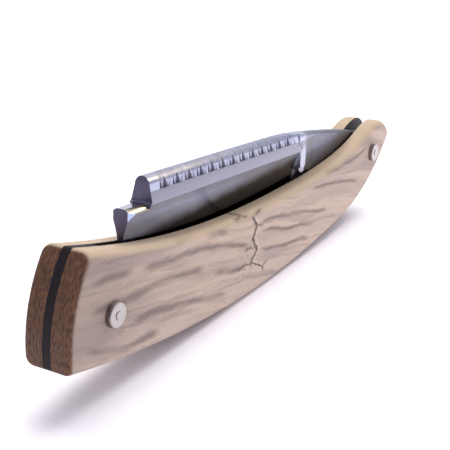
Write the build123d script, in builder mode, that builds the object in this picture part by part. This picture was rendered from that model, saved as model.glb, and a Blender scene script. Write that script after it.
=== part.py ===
from build123d import *
from math import atan2, cos, radians, sin, sqrt, tan
import os

# A straight razor, folded shut and standing on the curved belly of its handle.
# +X runs along the handle from the wedge end to the pivot end, the front face is -Y, +Z is up.
# The origin is on the ground under the middle of the handle, halfway between its two slabs.
# Side outlines are drawn as (along, up). All sizes are in millimetres.

# Handle slabs, drawn as (along, up) from the origin
scale_thickness = 4.50
edge_round = 2.0
end_round = 1.2
belly_radius = 304.0
belly_low_x = -2.4
belly_end_x = 45.0
wedge_end_low = (-76.5, 9.17)
wedge_end_bulge = (-75.2, 19.6)
wedge_end_high = (-69.3, 30.4)
waist = (14.0, 19.9)
nose_back = (58.0, 24.1)
nose_top = (67.4, 26.0)
tip = (75.9, 20.8)
tip_round = 2.0

# Pins, and the gaps between the slabs at each
wedge_pin_at = (-64.0, 16.6)
pivot_at = (61.4, 18.0)
wedge_gap = 2.05
pivot_gap = 3.70
pin_radius = 0.80
pin_hole = 0.84
blade_hole = 0.87
pin_proud = 0.14
pin_dome = 0.12
collar_radius = 2.50
collar_height = 1.15
collar_round = 0.30
washer_radius = 3.0
washer_height = 0.38

# Wedge
wedge_inner_x = -60.5
wedge_inner_round = 1.0

# Blade, drawn as (along, up) from the pivot with its spine level, then dipped to lie in the handle
dip = radians(4.2)
ground_start = -117.0
ground_end = -40.1

# Cross-section of the ground part, drawn as (half thickness, up)
crown_up = 11.5
crown_half = 0.45
crown_shoulder = (1.32, 10.85)
flank_high = (1.76, 9.80)
ledge = (2.02, 8.60)
shoulder = (2.60, 6.10)
hollow_mid = (0.95, 1.60)
hollow_low = (0.30, -2.80)
edge_half = 0.10
edge_up = -9.50

# Side outline of the blade
notch_along = -108.7
notch_foot_up = 6.20
notch_round = 0.5
lip = (-115.7, 6.35)
toe_round = 1.5
crown_bend_along = -66.0
heel_start = -51.0
heel_turn = (-45.5, -5.6)
tang_low = (-36.5, 0.4)
tang_end_radius = 5.60
tang_top_lean = 10.2
tang_bottom_lean = 7.9
tail_end = (7.4, -0.6)
toe_plan_start = (-108.0, 2.62)
toe_plan_mid = (-112.8, 2.32)
toe_half = 1.70
toe_crest = (0.60, 6.42)
toe_corner = (1.75, 5.80)
toe_side = (2.35, 4.50)

# Tang: thick behind the stabiliser, thinned to slip between the slabs
tang_start = -41.6
tang_corner = 2.4
tang_corner_up = 0.7
tang_half = 2.15
tang_thin_half = 1.40
tang_taper_start = -38.6
tang_taper_end = -32.0
tang_top_round = 1.15
stabiliser_width = 3.0
stabiliser_low = 1.4
stabiliser_high = 7.0
stabiliser_half = 2.60

# Filework: groups of three growing notches along both sides of the spine
filework_start = -105.05
filework_groups = 13
filework_pitch = 1.535
filework_width = 1.36
filework_depth = 0.56
filework_shares = (0.70, 1.0, 0.40)

# The slabs splay apart from the wedge to the pivot, so each lies on a slightly turned plane.
splay = atan2((pivot_gap - wedge_gap) / 2, pivot_at[0] - wedge_pin_at[0])
middle_half_gap = wedge_gap / 2 - wedge_pin_at[0] * tan(splay)


def belly_up(along):
    """Height of the belly arc at a place along the handle."""
    return belly_radius - sqrt(belly_radius**2 - (along - belly_low_x) ** 2)


def slab_plane(out=0.0):
    """The plane parallel to the front slab's inner face, this far out from it."""
    outward = Vector(-sin(splay), -cos(splay), 0)
    return Plane(
        origin=Vector(0, -middle_half_gap, 0) + outward * out,
        x_dir=(cos(splay), -sin(splay), 0),
        z_dir=outward,
    )


def seat(at, out):
    """That plane, centred on the pin at this place."""
    plane = slab_plane(out)
    along = (at[0] + out * sin(splay)) / cos(splay)
    return Plane(plane.from_local_coords((along, at[1], 0)), x_dir=plane.x_dir, z_dir=plane.z_dir)


def pin_reach(at):
    """From the middle to the pin's end, out through the slab and collar and a little proud."""
    inner_face = middle_half_gap + at[0] * tan(splay)
    return inner_face + (scale_thickness + collar_height) / cos(splay) + pin_proud


# The blade's own planes: its side, its cross-section looking along it, and its plan from above.
side_plane = Plane((pivot_at[0], 0, pivot_at[1]), x_dir=(cos(dip), 0, -sin(dip)), z_dir=(0, -1, 0))
blade_start = side_plane.from_local_coords((ground_start, 0, 0))
section_plane = Plane(blade_start, x_dir=(0, 1, 0), z_dir=side_plane.x_dir)
plan_plane = Plane(side_plane.origin, x_dir=side_plane.x_dir, z_dir=side_plane.y_dir)


# Front slab
with BuildPart() as front_scale:
    with BuildSketch(slab_plane()):
        with BuildLine():
            belly_end = (belly_end_x, belly_up(belly_end_x))
            belly = RadiusArc(wedge_end_low, belly_end, -belly_radius)
            TangentArc(belly_end, tip, tangent=belly % 1)
            TangentArc(nose_top, tip, tangent=(1, 0))
            Spline(nose_top, nose_back, waist, wedge_end_high, tangents=[(-1, 0), (-1, 0.3)])
            ThreePointArc(wedge_end_high, wedge_end_bulge, wedge_end_low)
        make_face()
    extrude(amount=scale_thickness)
    fillet(front_scale.edges().filter_by(GeomType.LINE).sort_by(Axis.X)[-1], radius=tip_round)
    outer_edges = front_scale.faces().sort_by(Axis.Y)[0].edges()
    fillet(outer_edges.sort_by(Axis.X)[1:], radius=edge_round)
    end_edges = front_scale.faces().sort_by(Axis.X)[0].edges()
    fillet(end_edges.sort_by(Axis.Y)[:-1], radius=end_round)
    with Locations(Plane.XZ):
        with Locations(wedge_pin_at, pivot_at):
            Hole(radius=pin_hole)
front_scale.part.label = "front_scale"

# Rear slab
with BuildPart() as rear_scale:
    mirror(front_scale.part, about=Plane.XZ)
rear_scale.part.label = "rear_scale"

# Wedge: one half is cut to the front slab's inner face, and the other is its mirror image
with BuildPart() as wedge:
    with BuildSketch(Plane.XZ):
        with BuildLine():
            inner_low = (wedge_inner_x, belly_up(wedge_inner_x))
            RadiusArc(wedge_end_low, inner_low, -belly_radius)
            inner_high = Line(inner_low, (wedge_inner_x, wedge_end_high[1] - 2.6)) @ 1
            Line(inner_high, wedge_end_high)
            ThreePointArc(wedge_end_high, wedge_end_bulge, wedge_end_low)
        make_face()
    extrude(amount=wedge_gap)
    fillet(wedge.edges().filter_by(Axis.Y).sort_by(Axis.X)[:2], radius=end_round)
    fillet(wedge.edges().filter_by(Axis.Y).sort_by(Axis.X)[-2:], radius=wedge_inner_round)
    split(bisect_by=slab_plane(), keep=Keep.BOTTOM)
    mirror(about=Plane.XZ)
    with Locations(Plane.XZ):
        with Locations(wedge_pin_at):
            Hole(radius=pin_hole)
wedge.part.label = "wedge"

# Pins: wire with its ends peened to low domes
with BuildPart(Plane.XZ) as wedge_pin:
    with Locations(wedge_pin_at):
        Cylinder(pin_radius, 2 * pin_reach(wedge_pin_at))
    fillet(wedge_pin.edges().filter_by(GeomType.CIRCLE), radius=pin_dome)
wedge_pin.part.label = "wedge_pin"

with BuildPart(Plane.XZ) as pivot_pin:
    with Locations(pivot_at):
        Cylinder(pin_radius, 2 * pin_reach(pivot_at))
    fillet(pivot_pin.edges().filter_by(GeomType.CIRCLE), radius=pin_dome)
pivot_pin.part.label = "pivot_pin"

# Collars: proud round washers under the pins' ends, flat on the slabs' outer faces
with BuildPart(seat(wedge_pin_at, scale_thickness)) as wedge_collar_front:
    Cylinder(collar_radius, collar_height, align=(Align.CENTER, Align.CENTER, Align.MIN))
    fillet(wedge_collar_front.edges().sort_by(Axis.Y)[0], radius=collar_round)
    Hole(radius=pin_hole)
wedge_collar_front.part.label = "wedge_collar_front"

with BuildPart() as wedge_collar_rear:
    mirror(wedge_collar_front.part, about=Plane.XZ)
wedge_collar_rear.part.label = "wedge_collar_rear"

with BuildPart(seat(pivot_at, scale_thickness)) as pivot_collar_front:
    Cylinder(collar_radius, collar_height, align=(Align.CENTER, Align.CENTER, Align.MIN))
    fillet(pivot_collar_front.edges().sort_by(Axis.Y)[0], radius=collar_round)
    Hole(radius=pin_hole)
pivot_collar_front.part.label = "pivot_collar_front"

with BuildPart() as pivot_collar_rear:
    mirror(pivot_collar_front.part, about=Plane.XZ)
pivot_collar_rear.part.label = "pivot_collar_rear"

# Bearing washers: thin discs against the slabs' inner faces, just clear of the tang
with BuildPart(seat(pivot_at, -washer_height)) as pivot_washer_front:
    Cylinder(washer_radius, washer_height, align=(Align.CENTER, Align.CENTER, Align.MIN))
    Hole(radius=pin_hole)
pivot_washer_front.part.label = "pivot_washer_front"

with BuildPart() as pivot_washer_rear:
    mirror(pivot_washer_front.part, about=Plane.XZ)
pivot_washer_rear.part.label = "pivot_washer_rear"

# Tang, made thick and then thinned in plan; it becomes one piece with the ground blade below
with BuildPart() as tang:
    with BuildSketch(side_plane):
        with BuildLine():
            Polyline(
                (tang_end_radius * 2, crown_up),
                (tang_start, crown_up),
                (tang_start, tang_corner_up),
                (tang_low[0], tang_low[1] - 1),
                (tang_end_radius * 2, -tang_end_radius * 2),
                (tang_end_radius * 2, crown_up),
            )
        profile = make_face()
        fillet(profile.vertices().sort_by_distance((tang_start, tang_corner_up))[0], radius=tang_corner)
    extrude(amount=stabiliser_half, both=True)
    with BuildSketch(plan_plane):
        with BuildLine():
            Polyline(
                (tang_start, 0),
                (tang_start, tang_half),
                (tang_taper_start, tang_half),
                (tang_taper_end, tang_thin_half),
                (tang_end_radius * 2, tang_thin_half),
                (tang_end_radius * 2, 0),
            )
            mirror(about=Plane.XZ)
        make_face()
    extrude(amount=3 * crown_up, both=True, mode=Mode.INTERSECT)

# Blade
with BuildPart() as blade:
    with BuildSketch(section_plane):
        with BuildLine():
            Line((0, crown_up), (crown_half, crown_up))
            ThreePointArc((crown_half, crown_up), crown_shoulder, flank_high)
            Polyline(flank_high, ledge, shoulder)
            ThreePointArc(shoulder, hollow_mid, hollow_low)
            Polyline(hollow_low, (edge_half, edge_up), (0, edge_up))
            mirror(about=Plane.YZ)
        make_face()
    extrude(amount=ground_end - ground_start)
    add(tang.part)
    with BuildSketch(side_plane):
        with BuildLine():
            tang_top = Vector(0, tang_end_radius).rotate(Axis.Z, -tang_top_lean)
            tang_bottom = Vector(0, -tang_end_radius).rotate(Axis.Z, -tang_bottom_lean)
            Polyline(lip, (lip[0], edge_up), (heel_start, edge_up))
            Spline((heel_start, edge_up), heel_turn, tang_low, tangents=[(1, 0), (1, -0.16)])
            Line(tang_low, tang_bottom)
            ThreePointArc(tang_bottom, tail_end, tang_top)
            TangentArc((crown_bend_along, crown_up), tang_top, tangent=(1, 0))
            notch_foot = (notch_along, notch_foot_up)
            Polyline((crown_bend_along, crown_up), (notch_along, crown_up), notch_foot, lip)
        outline = make_face()
        fillet(outline.vertices().sort_by_distance(notch_foot)[0], radius=notch_round)
        fillet(outline.vertices().sort_by_distance((lip[0], edge_up))[0], radius=toe_round)
    extrude(amount=stabiliser_half, both=True, mode=Mode.INTERSECT)
    # The tang's upper edges are rounded over, from the stabiliser to the pivot
    top = blade.faces().sort_by_distance(side_plane.from_local_coords((tang_taper_end, crown_up, 0)))[0]
    sides = top.edges().filter_by(lambda edge: abs(edge.center().Y) > tang_thin_half / 2)
    sides = sides.filter_by(lambda edge: side_plane.to_local_coords(edge.center()).X > tang_start)
    fillet(sides, radius=tang_top_round)
    # Stabiliser: one upright ridge at the end of the hollow on each side
    with BuildSketch(side_plane):
        middle_up = (stabiliser_low + stabiliser_high) / 2
        with Locations((tang_start + stabiliser_width / 2, middle_up)):
            SlotOverall(stabiliser_high - stabiliser_low, stabiliser_width, rotation=90)
    extrude(amount=stabiliser_half, both=True)
    # The toe narrows in plan towards its square end
    with BuildSketch(plan_plane):
        with BuildLine():
            ThreePointArc(toe_plan_start, toe_plan_mid, (lip[0], toe_half))
            Polyline(
                (lip[0], toe_half),
                (lip[0] - 1, toe_half),
                (lip[0] - 1, 2 * shoulder[0]),
                (toe_plan_start[0], 2 * shoulder[0]),
                toe_plan_start,
            )
        make_face()
        mirror(about=Plane.XZ)
    extrude(amount=2 * crown_up, both=True, mode=Mode.SUBTRACT)
    # The toe's upper corners are rounded off, up to the notch
    with BuildSketch(section_plane):
        with BuildLine():
            ThreePointArc(toe_crest, toe_corner, toe_side)
            Polyline(
                toe_side,
                (2 * shoulder[0], toe_side[1]),
                (2 * shoulder[0], crown_up),
                (toe_crest[0], crown_up),
                toe_crest,
            )
        make_face()
        mirror(about=Plane.YZ)
    extrude(amount=notch_along - notch_round - ground_start, mode=Mode.SUBTRACT)
    # Filework: upright V grooves that start at a ledge on the flank and run out towards the crown
    with BuildSketch(plan_plane.offset(ledge[1])):
        for group in range(filework_groups):
            for step, share in enumerate(filework_shares):
                along = filework_start + (3 * group + step) * filework_pitch
                half_width = share * filework_width
                root = ledge[0] - share * filework_depth
                mouth = ledge[0] + share * filework_depth
                with BuildLine():
                    Polyline((along - half_width, mouth), (along, root), (along + half_width, mouth), close=True)
                make_face()
        mirror(about=Plane.XZ)
    extrude(amount=crown_up, mode=Mode.SUBTRACT)
    with Locations(side_plane):
        Hole(radius=blade_hole)
blade.part.label = "blade"

os.makedirs("parts", exist_ok=True)
pieces = (
    front_scale,
    rear_scale,
    wedge,
    wedge_pin,
    wedge_collar_front,
    wedge_collar_rear,
    pivot_pin,
    pivot_collar_front,
    pivot_collar_rear,
    pivot_washer_front,
    pivot_washer_rear,
    blade,
)
for piece in pieces:
    export_step(piece.part, f"parts/{piece.part.label}.step")
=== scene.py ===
import math

import bpy
from mathutils import Matrix, Vector

# A straight razor, folded shut and standing on the belly of its wooden handle
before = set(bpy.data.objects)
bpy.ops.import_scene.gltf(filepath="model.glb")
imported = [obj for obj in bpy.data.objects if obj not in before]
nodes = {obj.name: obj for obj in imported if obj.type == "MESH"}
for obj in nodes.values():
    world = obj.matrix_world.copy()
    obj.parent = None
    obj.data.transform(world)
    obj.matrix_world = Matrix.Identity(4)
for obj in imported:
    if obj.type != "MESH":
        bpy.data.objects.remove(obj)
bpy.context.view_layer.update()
scene = bpy.context.scene
scene.view_settings.view_transform = "Standard"

MM = 0.001


# ---------------------------------------------------------------- node helpers
class Tree:
    """Short forms for the nodes of a material or a world."""

    def __init__(self, node_tree):
        self.nodes = node_tree.nodes
        self.links = node_tree.links

    def put(self, socket, value):
        """Give a socket a link, a colour of three parts, or a plain value."""
        if isinstance(value, bpy.types.NodeSocket):
            self.links.new(value, socket)
        elif socket.type == "RGBA":
            socket.default_value = (*value, 1.0)
        else:
            socket.default_value = value

    def math(self, operation, a, b=0.0, c=0.0):
        node = self.nodes.new("ShaderNodeMath")
        node.operation = operation
        for socket, value in zip(node.inputs, (a, b, c)):
            self.put(socket, value)
        return node.outputs[0]

    def times(self, a, b):
        return self.math("MULTIPLY", a, b)

    def linear(self, value, factor, base):
        """factor times value, plus base."""
        return self.math("MULTIPLY_ADD", value, factor, base)

    def gap(self, a, b):
        """How far apart two values are, whichever is larger."""
        return self.math("ABSOLUTE", self.math("SUBTRACT", a, b))

    def vector(self, operation, a, b):
        node = self.nodes.new("ShaderNodeVectorMath")
        node.operation = operation
        self.put(node.inputs[0], a)
        self.put(node.inputs[1], b)
        return node.outputs["Value" if operation in ("DISTANCE", "DOT_PRODUCT") else "Vector"]

    def split(self, vector):
        node = self.nodes.new("ShaderNodeSeparateXYZ")
        self.put(node.inputs[0], vector)
        return node.outputs[0], node.outputs[1], node.outputs[2]

    def join(self, x, y, z):
        node = self.nodes.new("ShaderNodeCombineXYZ")
        for socket, value in zip(node.inputs, (x, y, z)):
            self.put(socket, value)
        return node.outputs[0]

    def noise(self, vector, scale=1.0, detail=2.0):
        node = self.nodes.new("ShaderNodeTexNoise")
        self.put(node.inputs["Vector"], vector)
        node.inputs["Scale"].default_value = scale
        node.inputs["Detail"].default_value = detail
        return node.outputs[0]

    def step(self, value, limit):
        """A limit is a pair of values: 0 up to the first, 1 from the second on, smooth in between."""
        falling = limit[0] > limit[1]
        node = self.nodes.new("ShaderNodeMapRange")
        node.interpolation_type = "SMOOTHSTEP"
        self.put(node.inputs["Value"], value)
        node.inputs["From Min"].default_value = min(limit)
        node.inputs["From Max"].default_value = max(limit)
        node.inputs["To Min"].default_value = float(falling)
        node.inputs["To Max"].default_value = float(not falling)
        return node.outputs["Result"]

    def mix(self, share, under, over):
        node = self.nodes.new("ShaderNodeMix")
        node.data_type = "RGBA"
        self.put(node.inputs["Factor"], share)
        first, second = (socket for socket in node.inputs if socket.type == "RGBA")
        self.put(first, under)
        self.put(second, over)
        return next(socket for socket in node.outputs if socket.type == "RGBA")

    def curve(self, value, points, across, over):
        """Straight runs through these points, whose two values lie in the ranges across and over."""
        node = self.nodes.new("ShaderNodeFloatCurve")
        line = node.mapping.curves[0]
        while len(line.points) < len(points):
            line.points.new(0.5, 0.5)
        width, height = across[1] - across[0], over[1] - over[0]
        for point, (a, b) in zip(line.points, points):
            point.location = ((a - across[0]) / width, (b - over[0]) / height)
            point.handle_type = "VECTOR"
        node.mapping.extend = "HORIZONTAL"
        node.mapping.update()
        self.put(node.inputs["Value"], self.linear(value, 1 / width, -across[0] / width))
        return self.linear(node.outputs[0], height, over[0])


class Finish(Tree):
    """One material. Its place is the place on the razor at rest, in millimetres."""

    def __init__(self, name):
        self.material = bpy.data.materials.new(name)
        self.material.use_nodes = True
        super().__init__(self.material.node_tree)
        self.nodes.clear()
        output = self.nodes.new("ShaderNodeOutputMaterial")
        self.shader = self.nodes.new("ShaderNodeBsdfPrincipled")
        self.put(output.inputs["Surface"], self.shader.outputs["BSDF"])
        coordinates = self.nodes.new("ShaderNodeTexCoord")
        self.place = self.vector("MULTIPLY", coordinates.outputs["Object"], (1 / MM, 1 / MM, 1 / MM))
        self.normal = coordinates.outputs["Normal"]

    def set(self, **values):
        """Set inputs of the shader, with _ for each space in their names."""
        for name, value in values.items():
            self.put(self.shader.inputs[name.replace("_", " ")], value)

    def bump(self, height, strength, distance, normal=None):
        """Height is a share of distance, which is in millimetres."""
        node = self.nodes.new("ShaderNodeBump")
        node.inputs["Strength"].default_value = strength
        node.inputs["Distance"].default_value = distance * MM
        self.put(node.inputs["Height"], height)
        if normal is not None:
            self.put(node.inputs["Normal"], normal)
        return node.outputs["Normal"]


# ---------------------------------------------------------------- wood
wood_light = (0.455, 0.350, 0.282)
wood_mid = (0.345, 0.264, 0.230)
wood_dark = (0.110, 0.082, 0.084)
wood_pore = (0.060, 0.040, 0.038)
painted_top_light_tan = (0.390, 0.300, 0.200)
end_grain_shade_brown = (0.060, 0.026, 0.017)
end_grain_shade_tan = (0.150, 0.070, 0.032)
painted_inside_shade = (0.030, 0.021, 0.019)
painted_belly_light = (0.600, 0.480, 0.400)
painted_lip_highlight = (0.56, 0.46, 0.38)

# How strongly each mark tints the wood, from 0 to 1
painted_belly_light_share = 0.40
wedge_end_darkening_share = 0.42
faint_share = 0.36
streak_share = 0.72
pore_share = 0.26
fibre_share = 0.14
painted_top_light_share = 0.75
end_pore_share = 0.50
painted_lip_highlight_share = 0.35
crack_share = 0.88
side_share = 0.62
crushed_share = 0.30

# Each noise of the wood: how fast it changes along, across and up the slab per millimetre, its
# detail, and the limit that turns it into marks
wander = dict(along=0.045, across=0.05, up=0.09, detail=3.0)
ripple = dict(along=0.22, across=0.2, up=0.35)
bands = dict(along=0.02, across=0.12, up=0.30, detail=3.0, limit=(0.34, 0.66))
contours = dict(along=0.020, across=0.10, up=0.40, detail=1.5)
patches = dict(along=0.035, across=0.2, up=0.45, limit=(0.38, 0.62))
bending = dict(along=0.09, across=0.0, up=0.10, detail=3.0)
breaks = dict(along=0.09, across=0.3, up=0.5, limit=(0.30, 0.55))
pore_dashes = dict(along=0.30, across=3.0, up=3.2, limit=(0.60, 0.74))
fibres = dict(along=0.9, across=8.0, up=8.0, detail=3.0)
fibre_limit = (0.35, 0.7)
jagging = dict(along=0.8, across=0.0, up=0.8)
chipping = dict(along=0.7, across=0.0, up=0.9, limit=(0.42, 0.62))
crushing = dict(along=0.55, across=0.0, up=1.1, limit=(0.52, 0.66))
end_grain = dict(along=0.3, across=2.6, up=0.9, detail=3.0, limit=(0.35, 0.65))
end_pores = dict(along=0.5, across=5.0, up=5.0, limit=(0.56, 0.70))

# The grain falls towards the pivot by this slope. In millimetres, it wanders and ripples, its
# streaks bend and its splits jag by these reaches
grain_fall = 0.20
wander_reach = 4.0
ripple_reach = 0.9
bend_reach = 1.2
jag_reach = 0.7

# How deep the marks are and how high the fibres stand, as shares of relief_height in millimetres
streak_depth = 0.45
pore_depth = 0.22
crack_depth = 1.5
crushed_depth = 0.5
fibre_height = 0.12
relief_height = 0.13

# Limits of the directions that a face looks in: up, to the toe end, and to the slab's hidden side
top_facing = (0.15, 0.80)
end_facing = (-0.25, -0.72)
inside_facing = (0.75, 0.95)

# Limits of places on the slab, in millimetres
painted_belly_light_below = (14.0, 3.0)
wedge_end_darkening_before = (-42.0, -70.0)
wedge_end_darkening_above = (9.0, 15.0)
thin_streaks_after = (-30.0, 0.0)
split_above = (3.5, 6.0)
split_below = (20.0, 18.9)
crushed_centre = (-14.0, 0.0, 8.0)
crushed_within = (8.0, 2.0)

# Widths of strokes and cracks, and the lengths that strokes fade over, in millimetres
streak_width = 1.45
streak_thinning = 0.6
streak_fade = 3.0
side_width = 0.50
side_fade = 1.2
crack_width = 0.45
chip_width = 0.95
lip_offset = 1.1
lip_side = (0.9, 0.2)

# Soft sides from the outside in, as shares of a width or, for the contours, of the noise
stroke_side = (1.0, 0.05)
crack_side = (0.90, 0.25)
contour_side = (0.085, 0.0)

# Lines in the grain, as rows of strokes. Points are (along, up) in millimetres on the slab's face
streak_rows = [
    [
        [(-70.0, 24.5), (-57.0, 23.3)],
        [(-32.0, 21.2), (-22.0, 19.6)],
        [(19.6, 17.6), (36.0, 15.6), (52.0, 11.9)],
    ],
    [
        [(-55.0, 22.0), (-34.5, 19.3), (-20.0, 15.6), (-11.6, 12.5)],
        [(-7.5, 14.9), (8.0, 11.0), (23.0, 7.8)],
    ],
    [[(-71.0, 19.4), (-45.0, 16.6), (-32.0, 14.0)], [(-29.0, 12.2), (-20.5, 9.6), (-14.5, 8.4)]],
    [[(-73.0, 12.2), (-60.0, 8.2), (-49.0, 6.4)], [(-7.2, 17.4), (12.0, 13.6), (31.0, 8.9)]],
    [[(-59.0, 13.1), (-40.0, 9.4), (-23.0, 5.0)], [(-8.0, 10.3), (6.0, 7.2), (20.0, 5.0)]],
    [[(-44.0, 24.0), (-33.0, 23.4)], [(28.0, 19.6), (46.0, 19.0), (58.0, 20.5)]],
]
split_rows = [
    [[(-19.0, 20.5), (-15.0, 20.6), (-12.4, 19.9)], [(-10.6, 19.5), (-5.4, 19.9)]],
    [[(-16.0, 12.3), (-12.6, 12.5), (-10.4, 11.4)], [(-10.0, 17.0), (-6.0, 16.0)]],
    [[(-19.0, 8.5), (-15.0, 8.9), (-11.0, 7.8)], [(-7.0, 5.8), (-3.0, 6.6)]],
]
along_range = (-80.0, 80.0)
up_range = (0.0, 40.0)

# The split's zigzag up the slab's face, as (up, along) in millimetres
split_line = [
    (3.0, -5.0), (5.6, -6.3), (8.5, -11.9), (10.8, -9.2), (14.2, -11.2), (16.9, -9.4), (19.6, -11.3)
]
split_range = (-20.0, 0.0)


class Oak(Finish):
    """Weathered oak. shift moves its grain along the slab, so that two slabs differ."""

    def __init__(self, name, shift):
        super().__init__(name)
        along, self.across, self.up = self.split(self.place)
        self.along = self.math("ADD", along, shift)
        level = self.linear(self.along, grain_fall, self.up)
        level = self.linear(self.grain(self.up, **wander), wander_reach, level)
        self.level = self.linear(self.grain(self.up, **ripple), ripple_reach, level)

    def grain(self, height, along, across, up, detail=2.0, limit=None):
        """Noise stretched along the slab. It follows the grain where height is the grain's level."""
        spot = self.join(
            self.times(self.along, along), self.times(self.across, across), self.times(height, up)
        )
        noise = self.noise(spot, detail=detail)
        return self.step(noise, limit) if limit else noise

    def stroke_row(self, height, width, strokes, fade):
        """How strongly a spot lies on one of these strokes, which never overlap along the slab."""
        points = [point for stroke in strokes for point in stroke]
        centre = self.curve(self.along, points, along_range, up_range)
        ends = []
        for stroke in strokes:
            first, last = stroke[0][0], stroke[-1][0]
            ends += [(first, 0.0), (first + fade, 1.0), (last - fade, 1.0), (last, 0.0)]
        present = self.curve(self.along, ends, along_range, (0.0, 1.0))
        away = self.math("DIVIDE", self.gap(height, centre), width)
        return self.times(self.step(away, stroke_side), present)

    def stroke_rows(self, height, width, rows, fade):
        strongest = 0.0
        for strokes in rows:
            strongest = self.math("MAXIMUM", self.stroke_row(height, width, strokes, fade), strongest)
        return strongest


def add_split(t, colour, relief):
    """A zigzag split across the face, with short side splits and crushed grain beside it."""
    jag = t.linear(t.grain(t.up, **jagging), 2 * jag_reach, -jag_reach)
    off_line = t.math("SUBTRACT", t.along, t.curve(t.up, split_line, up_range, split_range))
    height_share = t.times(t.step(t.up, split_above), t.step(t.up, split_below))
    chipped_width = t.linear(t.grain(t.up, **chipping), chip_width, crack_width)
    off_crack = t.math("ABSOLUTE", t.math("ADD", off_line, jag))
    crack = t.times(t.step(t.math("DIVIDE", off_crack, chipped_width), crack_side), height_share)
    side = t.stroke_rows(t.math("ADD", t.up, jag), side_width, split_rows, side_fade)
    off_centre = t.vector("DISTANCE", t.join(t.along, 0.0, t.up), crushed_centre)
    crushed = t.times(t.grain(t.up, **crushing), t.step(off_centre, crushed_within))
    # Painted highlight on the chipped lip beside the split
    lip = t.times(t.step(t.gap(off_line, lip_offset), lip_side), height_share)
    colour = t.mix(t.times(lip, painted_lip_highlight_share), colour, painted_lip_highlight)
    colour = t.mix(t.times(crack, crack_share), colour, wood_pore)
    colour = t.mix(t.times(side, side_share), colour, wood_pore)
    colour = t.mix(t.times(crushed, crushed_share), colour, wood_dark)
    relief = t.linear(t.math("MAXIMUM", crack, side), crack_depth, relief)
    return colour, t.linear(crushed, crushed_depth, relief)


def wood(name, inward, shift=0.0, split=False):
    """The oak of one slab. inward is the sign of Y on its hidden face."""
    t = Oak(name, shift)
    # Broad bands from grey-brown to tan, with painted light making the face paler towards the belly, and
    # darker towards the wedge end above the belly
    colour = t.mix(t.grain(t.level, **bands), wood_mid, wood_light)
    # Painted light: paler towards the belly
    colour = t.mix(t.times(t.step(t.up, painted_belly_light_below), painted_belly_light_share), colour, painted_belly_light)
    wedge_end_darkening = t.times(t.step(t.along, wedge_end_darkening_before), t.step(t.up, wedge_end_darkening_above))
    colour = t.mix(t.times(wedge_end_darkening, wedge_end_darkening_share), colour, wood_dark)
    # Faint streaks everywhere: contour lines of a noise, fading in and out
    contour = t.step(t.gap(t.grain(t.level, **contours), 0.5), contour_side)
    faint = t.times(contour, t.grain(t.level, **patches))
    # Long grey streaks, bent a little, broken up along their length and thinner past the middle
    bend = t.linear(t.grain(t.up, **bending), 2 * bend_reach, -bend_reach)
    width = t.linear(t.step(t.along, thin_streaks_after), -streak_thinning, streak_width)
    streak = t.stroke_rows(t.math("ADD", t.up, bend), width, streak_rows, streak_fade)
    streak = t.times(streak, t.linear(t.grain(t.level, **breaks), 0.5, 0.5))
    # Fine pores, as short thin dashes along the grain, and pale fibres
    pores = t.grain(t.level, **pore_dashes)
    fibre = t.grain(t.level, **fibres)
    colour = t.mix(t.times(faint, faint_share), colour, wood_dark)
    colour = t.mix(t.times(streak, streak_share), colour, wood_dark)
    colour = t.mix(t.times(pores, pore_share), colour, wood_pore)
    colour = t.mix(t.times(t.step(fibre, fibre_limit), fibre_share), colour, wood_light)
    relief = t.linear(streak, streak_depth, t.times(pores, pore_depth))
    # Painted warm light on the upward-facing top edge
    nx, ny, nz = t.split(t.normal)
    colour = t.mix(t.times(t.step(nz, top_facing), painted_top_light_share), colour, painted_top_light_tan)
    if split:
        colour, relief = add_split(t, colour, relief)
    # Dark end grain at the cut ends towards the toe, deepened with painted shade, and painted shade on the
    # hidden insides
    end = t.mix(t.grain(t.up, **end_grain), end_grain_shade_brown, end_grain_shade_tan)
    end = t.mix(t.times(t.grain(t.up, **end_pores), end_pore_share), end, wood_pore)
    colour = t.mix(t.step(nx, end_facing), colour, end)
    # Painted shade on the hidden insides of the slabs
    colour = t.mix(t.step(t.times(ny, inward), inside_facing), colour, painted_inside_shade)
    # Dry and matt, a little more so on fibres and in streaks
    rough = t.linear(streak, 0.12, t.linear(fibre, 0.14, 0.48))
    height = t.math("SUBTRACT", t.times(fibre, fibre_height), relief)
    t.set(Base_Color=colour, Roughness=rough, IOR=1.46, Specular_IOR_Level=0.35)
    t.set(Normal=t.bump(height, strength=0.9, distance=relief_height))
    return t.material


# ---------------------------------------------------------------- steel
bright_blues = (0.56, 0.58, 0.69), (0.63, 0.65, 0.77)
painted_flank_shade_blue = (0.46, 0.50, 0.63)
painted_ledge_shade_grey = (0.29, 0.29, 0.35)
hollow_blue = (0.36, 0.425, 0.62)
painted_gap_shade_black = (0.016, 0.015, 0.020)
painted_tang_shade_grey = (0.10, 0.10, 0.13)
painted_ridge_highlight_blue = (0.44, 0.46, 0.55)
filed_grey = (0.34, 0.36, 0.45)
stroke_grey = (0.13, 0.14, 0.21)
painted_cut_shade_black = (0.035, 0.035, 0.055)
painted_toe_highlight_straw = (0.72, 0.66, 0.52)
painted_end_face_shade_grey = (0.11, 0.10, 0.15)

# How strongly each area tints the steel, from 0 to 1
painted_tang_shade_share = 0.62
filed_share = 0.15
stroke_share = 0.40
painted_cut_shade_share = 0.80

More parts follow.
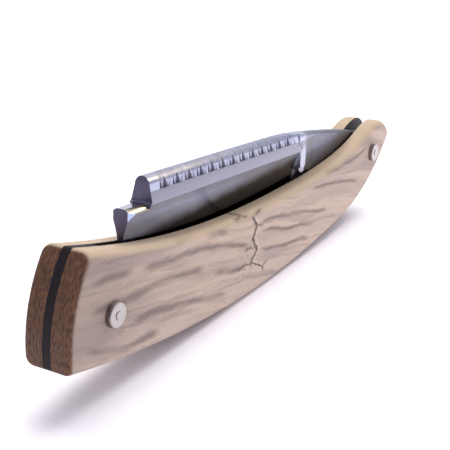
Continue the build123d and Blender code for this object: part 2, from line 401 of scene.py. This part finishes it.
# The blade's own directions: u along the edge from the pivot, negative towards the toe, and v
# from the pivot towards the spine. Lengths are in millimetres, and the ridge is the stabiliser
pivot = (61.4, 18.0)
blade_dip = math.radians(4.2)
ledge_up = 8.6
ledge_below = (ledge_up + 0.1, ledge_up - 0.1)
hollow_below = (6.15, 6.05)
bevel_above = (-8.9, -8.7)
crown_above = (9.9, 10.6)
tang_after = (-39.0, -36.5)
ridge_after = (-42.6, -42.0)
ridge_before = (-37.6, -38.4)
ridge_below = (7.4, 7.0)
toe_face_before = (-107.5, -108.3)
toe_rounding_before = (-108.9, -109.3)

# The soft upper limit of the painted shade in the lower hollow, which climbs towards the pivot
gap_shade_top = 10.4
gap_shade_depth = 3.4
gap_shade_climb = 0.075
wobble_reach = 1.6

# Filework: each group of cuts gets a black triangle of painted shade, and the first one is nearest to the
# toe
filed_after = (-105.7, -105.2)
filed_before = (-43.8, -44.6)
filed_above = (8.4, 8.7)
first_group = -103.5
group_pitch = 4.605
group_rise = 2.0
group_slope = 1.7
cut_side = (0.25, -0.25)

# Each noise of the steel: how fast it changes along the edge, across the blade and up to the
# spine per millimetre, its detail, and the limit that turns it into marks
grinding = dict(along=0.10, across=16.0, up=16.0)
wobble = dict(along=0.25, across=0.0, up=0.6, detail=4.0)
file_strokes = dict(along=3.2, across=0.25, up=0.5, limit=(0.46, 0.60))
smear_limit = (0.3, 0.7)

# Limits of the directions that a face looks in: sideways, upward, and to the toe end
flank_facing = (0.45, 0.95)
rounding_sideways = (0.25, 0.50)
rounding_upward = (0.15, 0.40)
end_face_facing = (-0.30, -0.60)


def steel(name):
    """Ground and polished steel. The spine is filed and dull, the end faces and file cuts are unpolished and
    darkened with painted shade.
    """
    t = Finish(name)
    x, y, z = t.split(t.place)
    x = t.math("SUBTRACT", x, pivot[0])
    z = t.math("SUBTRACT", z, pivot[1])
    sine, cosine = math.sin(blade_dip), math.cos(blade_dip)
    u = t.linear(x, cosine, t.times(z, -sine))
    v = t.linear(x, sine, t.times(z, cosine))

    def scratches(along, across, up, detail=3.0, limit=None):
        noise = t.noise(t.join(t.times(u, along), t.times(y, across), t.times(v, up)), detail=detail)
        return t.step(noise, limit) if limit else noise

    nx, ny, nz = t.split(t.normal)
    sideways = t.math("ABSOLUTE", ny)
    side = t.step(sideways, flank_facing)
    # Smeared bright steel, with painted shade making the sideways-facing flanks darker, and darker still,
    # grey, below the ledge
    smear = t.noise(t.place, scale=0.12, detail=3.0)
    colour = t.mix(t.step(smear, smear_limit), *bright_blues)
    colour = t.mix(side, colour, t.mix(t.step(v, ledge_below), painted_flank_shade_blue, painted_ledge_shade_grey))
    # The hollow is blue-grey. Painted shade darkens its lower part, where it reflects the dark gap between
    # the slabs; the honed bevel at the edge stays bright
    colour = t.mix(t.times(side, t.step(v, hollow_below)), colour, hollow_blue)
    wobbled = t.linear(scratches(**wobble), wobble_reach, v)
    gap_shade_line = t.linear(u, -gap_shade_climb, wobbled)
    painted_gap_shade = t.times(t.step(gap_shade_line, (gap_shade_top, gap_shade_top - gap_shade_depth)), t.step(v, bevel_above))
    colour = t.mix(painted_gap_shade, colour, painted_gap_shade_black)
    # Painted shade on the tang, which lies in shadow between the slabs
    tang = t.step(u, tang_after)
    colour = t.mix(t.times(tang, painted_tang_shade_share), colour, painted_tang_shade_grey)
    # Painted highlight on the stabiliser ridge, paler than the shaded hollow around it
    ridge = t.times(t.step(u, ridge_after), t.step(u, ridge_before))
    colour = t.mix(t.times(ridge, t.step(v, ridge_below)), colour, painted_ridge_highlight_blue)
    # Filework above the ledge: a dark triangle of painted shade to each group of cuts, and fine file strokes
    # between
    filed = t.times(t.step(u, filed_after), t.step(u, filed_before))
    filed = t.times(filed, t.step(v, filed_above))
    strokes = t.times(filed, scratches(**file_strokes))
    off_group = t.math("PINGPONG", t.math("SUBTRACT", u, first_group), group_pitch / 2)
    peak = t.linear(off_group, -group_slope, ledge_up + group_rise)
    painted_cut_shade = t.times(filed, t.step(t.math("SUBTRACT", v, peak), cut_side))
    colour = t.mix(t.times(filed, filed_share), colour, filed_grey)
    colour = t.mix(t.times(strokes, stroke_share), colour, stroke_grey)
    colour = t.mix(t.times(painted_cut_shade, painted_cut_shade_share), colour, painted_cut_shade_black)
    # Painted warm highlight: a straw tint on the rounding along the toe's upper edges
    rounding = t.times(t.step(u, toe_rounding_before), t.step(sideways, rounding_sideways))
    rounding = t.times(rounding, t.step(nz, rounding_upward))
    colour = t.mix(rounding, colour, painted_toe_highlight_straw)
    # Painted shade on faces towards the toe, at the blade's end and inside the file cuts
    end_face = t.math("MAXIMUM", filed, t.step(u, toe_face_before))
    end_face = t.times(t.step(nx, end_face_facing), end_face)
    colour = t.mix(end_face, colour, painted_end_face_shade_grey)
    # Flanks are the smoothest. The crown, tang and ridge are duller, and the end faces dullest
    lines = scratches(**grinding)
    dull = t.math("MAXIMUM", t.step(v, crown_above), t.math("MAXIMUM", tang, ridge))
    rough = t.linear(lines, 0.05, t.linear(smear, 0.04, 0.17))
    for area, added in ((side, -0.06), (filed, 0.10), (dull, 0.18), (end_face, 0.20)):
        rough = t.linear(area, added, rough)
    t.set(Metallic=1.0, Base_Color=colour, Roughness=rough)
    grooves = t.bump(t.times(strokes, -1.0), strength=0.6, distance=0.015)
    t.set(Normal=t.bump(lines, strength=0.25, distance=0.006, normal=grooves))
    return t.material


# ---------------------------------------------------------------- fittings and wedge
silver_grey = (0.43, 0.41, 0.395)
silver_shaded = (0.26, 0.225, 0.21)
silver_shaded_facing = (-0.15, -0.60)
brass_yellows = (0.62, 0.45, 0.20), (0.78, 0.60, 0.30)
resin_blacks = (0.006, 0.004, 0.006), (0.016, 0.012, 0.015)


def nickel_silver(name):
    """Finely brushed fittings, with painted shade on the faces towards the toe end."""
    t = Finish(name)
    lines = t.noise(t.place, scale=9.0, detail=3.0)
    nx = t.split(t.normal)[0]
    colour = t.mix(t.step(nx, silver_shaded_facing), silver_grey, silver_shaded)
    t.set(Metallic=1.0, Base_Color=colour, Roughness=t.linear(lines, 0.16, 0.24))
    t.set(Normal=t.bump(lines, strength=0.3, distance=0.01))
    return t.material


def brass(name):
    t = Finish(name)
    lines = t.noise(t.place, scale=7.0, detail=3.0)
    t.set(Metallic=1.0, Base_Color=t.mix(lines, *brass_yellows), Roughness=t.linear(lines, 0.2, 0.28))
    return t.material


def black_resin(name):
    t = Finish(name)
    lines = t.noise(t.place, scale=3.0, detail=4.0)
    t.set(Base_Color=t.mix(lines, *resin_blacks), Roughness=t.linear(lines, 0.2, 0.50))
    t.set(Specular_IOR_Level=0.2, Normal=t.bump(lines, strength=0.3, distance=0.02))
    return t.material


def dress(names, material):
    for name in names:
        mesh = nodes[name].data
        mesh.materials.clear()
        mesh.materials.append(material)


def shade(mesh, angle):
    mesh.polygons.foreach_set("use_smooth", [True] * len(mesh.polygons))
    mesh.set_sharp_from_angle(angle=math.radians(angle))


def blend_toe(mesh, toe_end):
    """The toe's upper edges are rounded over, so the facets that run along them are blended."""
    for edge in mesh.edges:
        start, end = (mesh.vertices[i].co for i in edge.vertices)
        run, side, rise = (abs(part) for part in end - start)
        runs_along = run > 4 * side and run > 1.5 * rise
        if max(start.x, end.x) < toe_end and runs_along:
            edge.use_edge_sharp = False


dress(["front_scale"], wood("oak_front", inward=1.0, split=True))
dress(["rear_scale"], wood("oak_rear", inward=-1.0, shift=13.0))
dress(["wedge"], black_resin("wedge_resin"))
dress([name for name in nodes if "collar" in name or "pin" in name], nickel_silver("nickel_silver"))
dress([name for name in nodes if "washer" in name], brass("washer_brass"))
dress(["blade"], steel("blade_steel"))
for node in nodes.values():
    shade(node.data, angle=28)
blend_toe(nodes["blade"].data, toe_end=-47.6 * MM)

# ---------------------------------------------------------------- floor
floor_reach = 6.0
floor_corners = [(x * floor_reach, y * floor_reach, 0) for x, y in ((-1, -1), (1, -1), (1, 1), (-1, 1))]
floor_mesh = bpy.data.meshes.new("floor")
floor_mesh.from_pydata(floor_corners, [], [(0, 1, 2, 3)])
floor = bpy.data.objects.new("floor", floor_mesh)
scene.collection.objects.link(floor)
paper = Finish("floor_paper")
paper.set(Base_Color=(0.90, 0.88, 0.92), Roughness=0.9, Specular_IOR_Level=0.1)
floor_mesh.materials.append(paper.material)

# ---------------------------------------------------------------- surroundings
sky_dim = (0.42, 0.39, 0.47)
sky_bright = (0.80, 0.80, 0.88)
sky_far = (0.95, 0.94, 1.00)
sky_strength = 0.93
overhead_way = (0, 0, 1)
overhead_limit = (0.05, 0.95)
far_end_way = (0.87, 0.49, 0.1)
far_end_limit = (0.1, 0.9)

world = bpy.data.worlds.new("studio")
world.use_nodes = True
scene.world = world
sky = Tree(world.node_tree)
direction = sky.nodes.new("ShaderNodeTexCoord").outputs["Generated"]


def leaning(way, limit):
    """How far a direction leans this way, where 1 is straight this way and 0 is square to it."""
    return sky.step(sky.vector("DOT_PRODUCT", direction, Vector(way).normalized()), limit)


# Bright overhead and behind the far end, dim towards the near end
glow = sky.mix(leaning(overhead_way, overhead_limit), sky_dim, sky_bright)
glow = sky.mix(leaning(far_end_way, far_end_limit), glow, sky_far)
background = sky.nodes["Background"]
sky.put(background.inputs["Color"], glow)
sky.put(background.inputs["Strength"], sky_strength)


# ---------------------------------------------------------------- lamps
def area_light(name, place, aim, size, power, colour=(1, 1, 1), mirrored=False):
    """A soft lamp. A mirrored one shows only in polished surfaces, the others only light the matt ones."""
    data = bpy.data.lights.new(name, "AREA")
    data.shape = "RECTANGLE"
    data.size, data.size_y = size
    data.energy = power
    data.color = colour
    lamp = bpy.data.objects.new(name, data)
    lamp.location = place
    lamp.rotation_mode = "QUATERNION"
    lamp.rotation_quaternion = (Vector(aim) - Vector(place)).to_track_quat("-Z", "Y")
    lamp.visible_camera = False
    lamp.visible_glossy = mirrored
    lamp.visible_diffuse = not mirrored
    scene.collection.objects.link(lamp)


area_light(
    "overhead",
    place=(0.34, 0.12, 0.70),
    aim=(0, 0, 0),
    size=(0.8, 0.7),
    power=9.3,
    colour=(1.0, 0.99, 0.96),
)
area_light("front_fill", place=(0.10, -0.90, 0.13), aim=(0, 0, 0.01), size=(0.7, 0.2), power=2.6)
area_light(
    "toe_glint",
    place=(-0.003, -0.022, 0.059),
    aim=(-0.052, -0.002, 0.031),
    size=(0.010, 0.010),
    power=0.0034,
    colour=(1.0, 0.74, 0.38),
    mirrored=True,
)

# ---------------------------------------------------------------- camera
camera_place = Vector((-182.7, -96.9, 87.85)) * MM
yaw, pitch, roll = math.radians(29.86), math.radians(19.93), math.radians(0.46)

camera_data = bpy.data.cameras.new("camera")
camera_data.lens = 72.0
camera_data.sensor_width = 36.0
camera_data.clip_start = 0.01
camera_data.clip_end = 50.0
camera = bpy.data.objects.new("camera", camera_data)
forward = Vector((math.cos(yaw) * math.cos(pitch), math.sin(yaw) * math.cos(pitch), -math.sin(pitch)))
level_right = Vector((math.sin(yaw), -math.cos(yaw), 0))
level_up = level_right.cross(forward)
right = level_right * math.cos(roll) + level_up * math.sin(roll)
up = level_up * math.cos(roll) - level_right * math.sin(roll)
turn = Matrix((right, up, -forward)).transposed().to_4x4()
camera.matrix_world = Matrix.Translation(camera_place) @ turn
scene.collection.objects.link(camera)
scene.camera = camera
